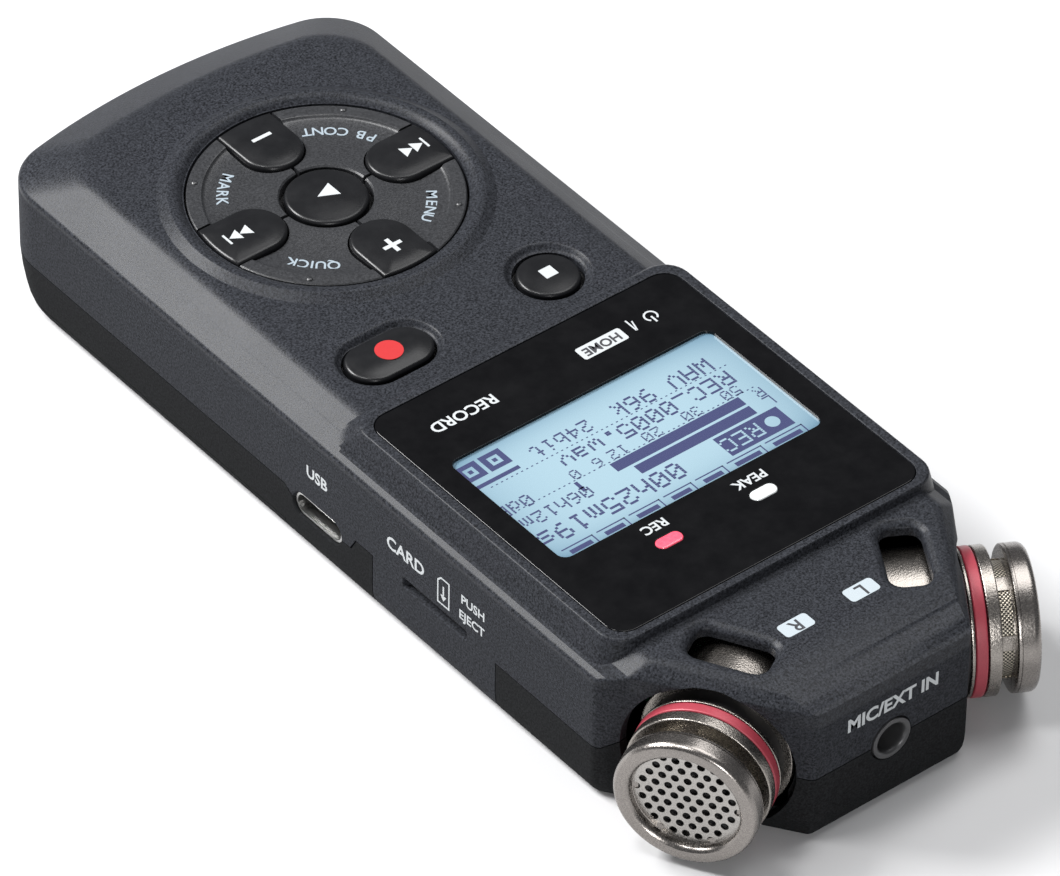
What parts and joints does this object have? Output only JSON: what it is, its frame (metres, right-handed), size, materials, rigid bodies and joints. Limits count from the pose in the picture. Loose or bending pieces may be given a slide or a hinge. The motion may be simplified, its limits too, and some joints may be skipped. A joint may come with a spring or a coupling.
{
  "type": "portable field recorder",
  "caption": "Handheld audio recorder with a key wheel, a display and two angled microphones on swelling collars at one end.",
  "frame": {"origin": "middle of the footprint, on the surface that the back rests on", "axes": "+X the side with the data port and the card slot, +Y the microphone end, +Z out of the face"},
  "size_m": [0.0606, 0.1414, 0.0226],
  "materials": {
    "shell": "satin charcoal moulding with a fine spark-eroded grain",
    "rear": "satin near-black moulding with a fine grain",
    "gloss": "clear acrylic window printed black on its back, polished",
    "lcd": "pale blue reflective liquid crystal glass",
    "key": "satin black hard keycap",
    "record": "satin black keycap with a red dot",
    "red_light": "tinted light pipe, lit red",
    "white_light": "clear frosted light pipe",
    "nickel": "warm bead-blasted nickel plate",
    "crimson": "crimson anodised aluminium",
    "mesh": "woven wire mesh",
    "steel": "tinned sheet steel",
    "brass": "machined brass insert",
    "board": "green solder resist on glass-filled laminate",
    "rubber": "silicone key mat",
    "cell_sleeve": "printed shrink sleeve on a steel can",
    "black_part": "black moulding",
    "jack_ring": "dark plated ring on a black moulding"
  },
  "bodies": {
    "housing": {"front_shell": "shell", "rear_shell": "rear", "display_window": "gloss", "lcd_module": "lcd", "rec_light_pipe": "red_light", "peak_light_pipe": "white_light", "keypad_sheet": "rubber", "main_board": "board", "io_board": "board", "usb_port": "steel", "card_socket": "steel", "mic_input_jack": "jack_ring", "phones_jack": "jack_ring", "speaker": "black_part", "tripod_insert": "brass", "battery_right": "cell_sleeve", "battery_left": "cell_sleeve", "contact_spring": "steel", "contact_tab": "steel", "contact_bridge": "steel", "housing_screw_1": "steel", "housing_screw_2": "steel", "housing_screw_3": "steel", "housing_screw_4": "steel", "mic_right_barrel": "nickel", "mic_right_ring": "crimson", "mic_right_collar": "nickel", "mic_right_band": "mesh", "mic_right_cap": "nickel", "mic_right_grille": "nickel", "mic_right_capsule": "black_part", "mic_left_barrel": "nickel", "mic_left_ring": "crimson", "mic_left_collar": "nickel", "mic_left_band": "mesh", "mic_left_cap": "nickel", "mic_left_grille": "nickel", "mic_left_capsule": "black_part"},
    "play_key": {"play_key": "key"},
    "forward_key": {"forward_key": "key"},
    "plus_key": {"plus_key": "key"},
    "back_key": {"back_key": "key"},
    "minus_key": {"minus_key": "key"},
    "quick_key": {"quick_key": "key"},
    "menu_key": {"menu_key": "key"},
    "playback_key": {"playback_key": "key"},
    "mark_key": {"mark_key": "key"},
    "stop_key": {"stop_key": "key"},
    "record_key": {"record_key": "record"},
    "battery_door": {"battery_door": "rear"},
    "memory_card": {"memory_card": "black_part"}
  },
  "joints": [
    {"name": "play_press", "type": "slide", "parent": "housing", "child": "play_key", "axis": [0, 0, -1], "range_m": [0, 0.00035], "stiffness_N_per_m": 900},
    {"name": "forward_press", "type": "slide", "parent": "housing", "child": "forward_key", "axis": [0, 0, -1], "range_m": [0, 0.00035], "stiffness_N_per_m": 900},
    {"name": "plus_press", "type": "slide", "parent": "housing", "child": "plus_key", "axis": [0, 0, -1], "range_m": [0, 0.00035], "stiffness_N_per_m": 900},
    {"name": "back_press", "type": "slide", "parent": "housing", "child": "back_key", "axis": [0, 0, -1], "range_m": [0, 0.00035], "stiffness_N_per_m": 900},
    {"name": "minus_press", "type": "slide", "parent": "housing", "child": "minus_key", "axis": [0, 0, -1], "range_m": [0, 0.00035], "stiffness_N_per_m": 900},
    {"name": "quick_press", "type": "slide", "parent": "housing", "child": "quick_key", "axis": [0, 0, -1], "range_m": [0, 0.00035], "stiffness_N_per_m": 900},
    {"name": "menu_press", "type": "slide", "parent": "housing", "child": "menu_key", "axis": [0, 0, -1], "range_m": [0, 0.00035], "stiffness_N_per_m": 900},
    {"name": "playback_press", "type": "slide", "parent": "housing", "child": "playback_key", "axis": [0, 0, -1], "range_m": [0, 0.00035], "stiffness_N_per_m": 900},
    {"name": "mark_press", "type": "slide", "parent": "housing", "child": "mark_key", "axis": [0, 0, -1], "range_m": [0, 0.00035], "stiffness_N_per_m": 900},
    {"name": "stop_press", "type": "slide", "parent": "housing", "child": "stop_key", "axis": [0, 0, -1], "range_m": [0, 0.00035], "stiffness_N_per_m": 900},
    {"name": "record_press", "type": "slide", "parent": "housing", "child": "record_key", "axis": [0, 0, -1], "range_m": [0, 0.00035], "stiffness_N_per_m": 900},
    {"name": "battery_door_slide", "type": "slide", "parent": "housing", "child": "battery_door", "axis": [0, -1, 0], "range_m": [0, 0.006]},
    {"name": "memory_card_slide", "type": "slide", "parent": "housing", "child": "memory_card", "axis": [1, 0, 0], "range_m": [0, 0.012]}
  ]
}
